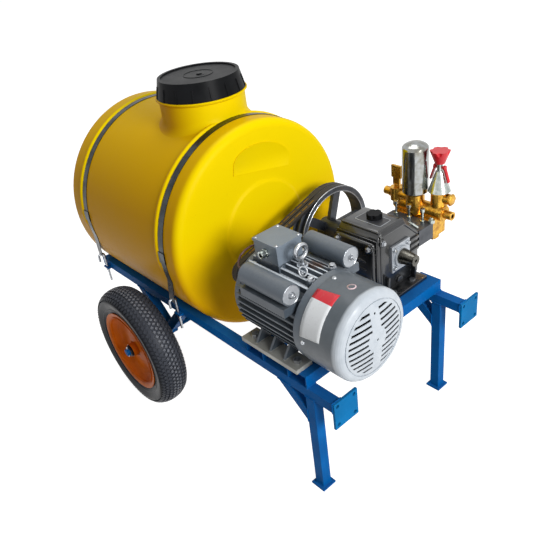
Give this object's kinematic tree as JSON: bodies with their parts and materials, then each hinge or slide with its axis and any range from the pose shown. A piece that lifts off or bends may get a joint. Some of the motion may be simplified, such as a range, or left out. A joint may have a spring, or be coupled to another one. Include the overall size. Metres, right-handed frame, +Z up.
{
  "type": "wheeled sprayer cart",
  "caption": "Two-wheeled sprayer cart: drum tank with screw cap, electric motor and belt-driven plunger pump on a tube frame.",
  "frame": {"origin": "on the floor under the middle of the cart's overall box", "axes": "+X towards the hitch plates, +Y towards the pump's side, +Z up"},
  "size_m": [1.0299, 0.7436, 0.8446],
  "materials": {
    "blue_enamel": "gloss",
    "plate_enamel": "gloss",
    "orange_enamel": "gloss",
    "tyre_rubber": "matte",
    "black_plastic": "satin",
    "black_steel": "satin",
    "zinc_steel": "satin",
    "tank_plastic": "satin",
    "seal_rubber": "matte",
    "white_plastic": "matte",
    "motor_enamel": "satin",
    "cover_enamel": "satin",
    "winding_copper": "satin",
    "shaft_steel": "polished",
    "nickel": "polished",
    "disc_aluminium": "satin",
    "lead_pvc": "satin",
    "pulley_iron": "satin",
    "belt_rubber": "matte",
    "black_enamel": "gloss",
    "flange_aluminium": "satin",
    "block_iron": "satin",
    "brass": "polished",
    "chrome_plate": "mirror",
    "red_plastic": "gloss"
  },
  "bodies": {
    "root": {"side_rails": "blue_enamel", "front_channel": "blue_enamel", "rear_channel": "blue_enamel", "front_legs": "blue_enamel", "leg_feet": "blue_enamel", "leg_braces": "blue_enamel", "hitch_plates": "plate_enamel", "axle_arms": "blue_enamel", "axle": "blue_enamel", "strap_lugs": "blue_enamel", "axle_washers": "black_steel", "split_pins": "zinc_steel", "tank_shell": "tank_plastic", "strainer_basket": "white_plastic", "strap_front": "zinc_steel", "strap_rear": "zinc_steel", "strap_clips": "zinc_steel", "hook_bolts": "zinc_steel", "hook_nuts": "zinc_steel", "motor_frame": "motor_enamel", "end_shields": "motor_enamel", "stator": "winding_copper", "motor_bearings": "shaft_steel", "fan_cover": "cover_enamel", "terminal_box": "motor_enamel", "terminal_lid": "motor_enamel", "cable_gland": "nickel", "capacitors": "disc_aluminium", "capacitor_covers": "motor_enamel", "capacitor_lead": "lead_pvc", "eye_bolt": "zinc_steel", "foot_bolts": "zinc_steel", "drive_belts": "belt_rubber", "crankcase": "black_enamel", "side_cover": "black_enamel", "bearing_flanges": "flange_aluminium", "plungers": "shaft_steel", "level_window": "nickel", "cylinder_block": "block_iron", "valve_block": "brass", "air_chamber": "chrome_plate", "regulator": "nickel", "grease_cups": "nickel"},
    "wheel_right": {"rim_right": "orange_enamel", "tyre_right": "tyre_rubber", "hub_bushes_right": "black_plastic"},
    "wheel_left": {"rim_left": "orange_enamel", "tyre_left": "tyre_rubber", "hub_bushes_left": "black_plastic"},
    "cap_ring": {"cap_gasket": "seal_rubber"},
    "cap": {"tank_cap": "black_plastic"},
    "motor_rotor": {"rotor": "shaft_steel", "cooling_fan": "black_plastic", "motor_pulley": "pulley_iron"},
    "pump_crank": {"crankshaft": "shaft_steel", "pump_pulley": "pulley_iron"},
    "oil_plug": {"oil_cap": "black_plastic"},
    "knob": {"pressure_knob": "red_plastic"},
    "lever": {"relief_lever": "red_plastic"},
    "handle": {"outlet_handle": "brass"}
  },
  "joints": [
    {"name": "wheel_right_spin", "type": "hinge", "parent": "root", "child": "wheel_right", "pos_m": [-0.192, -0.3245, 0.1755], "axis": [0, 1, 0], "continuous": true},
    {"name": "wheel_left_spin", "type": "hinge", "parent": "root", "child": "wheel_left", "pos_m": [-0.192, 0.3245, 0.1755], "axis": [0, 1, 0], "continuous": true},
    {"name": "cap_lift", "type": "slide", "parent": "root", "child": "cap_ring", "axis": [0, 0, 1], "range_m": [0, 0.06]},
    {"name": "cap_turn", "type": "hinge", "parent": "cap_ring", "child": "cap", "pos_m": [-0.154, 0, 0.83706], "axis": [0, 0, 1], "range_deg": [0, 720]},
    {"name": "motor_spin", "type": "hinge", "parent": "root", "child": "motor_rotor", "pos_m": [0.155, -0.139, 0.436], "axis": [1, 0, 0], "continuous": true},
    {"name": "pump_spin", "type": "hinge", "parent": "root", "child": "pump_crank", "pos_m": [0.2775, 0.147, 0.43], "axis": [1, 0, 0], "continuous": true},
    {"name": "oil_cap_turn", "type": "hinge", "parent": "root", "child": "oil_plug", "pos_m": [0.2775, 0.135, 0.516], "axis": [0, 0, 1], "range_deg": [0, 720]},
    {"name": "pressure_turn", "type": "hinge", "parent": "root", "child": "knob", "pos_m": [0.3295, 0.319, 0.6], "axis": [0, 0, 1], "range_deg": [-720, 720]},
    {"name": "lever_swing", "type": "hinge", "parent": "root", "child": "lever", "pos_m": [0.3295, 0.319, 0.59], "axis": [1, 0, 0], "range_deg": [0, 80]},
    {"name": "outlet_turn", "type": "hinge", "parent": "root", "child": "handle", "pos_m": [0.2115, 0.302, 0.516], "axis": [0, 0, 1], "range_deg": [0, 90]}
  ],
  "couplings": [
    {"joint": "pump_spin", "follows": "motor_spin", "ratio": 0.2348}
  ]
}
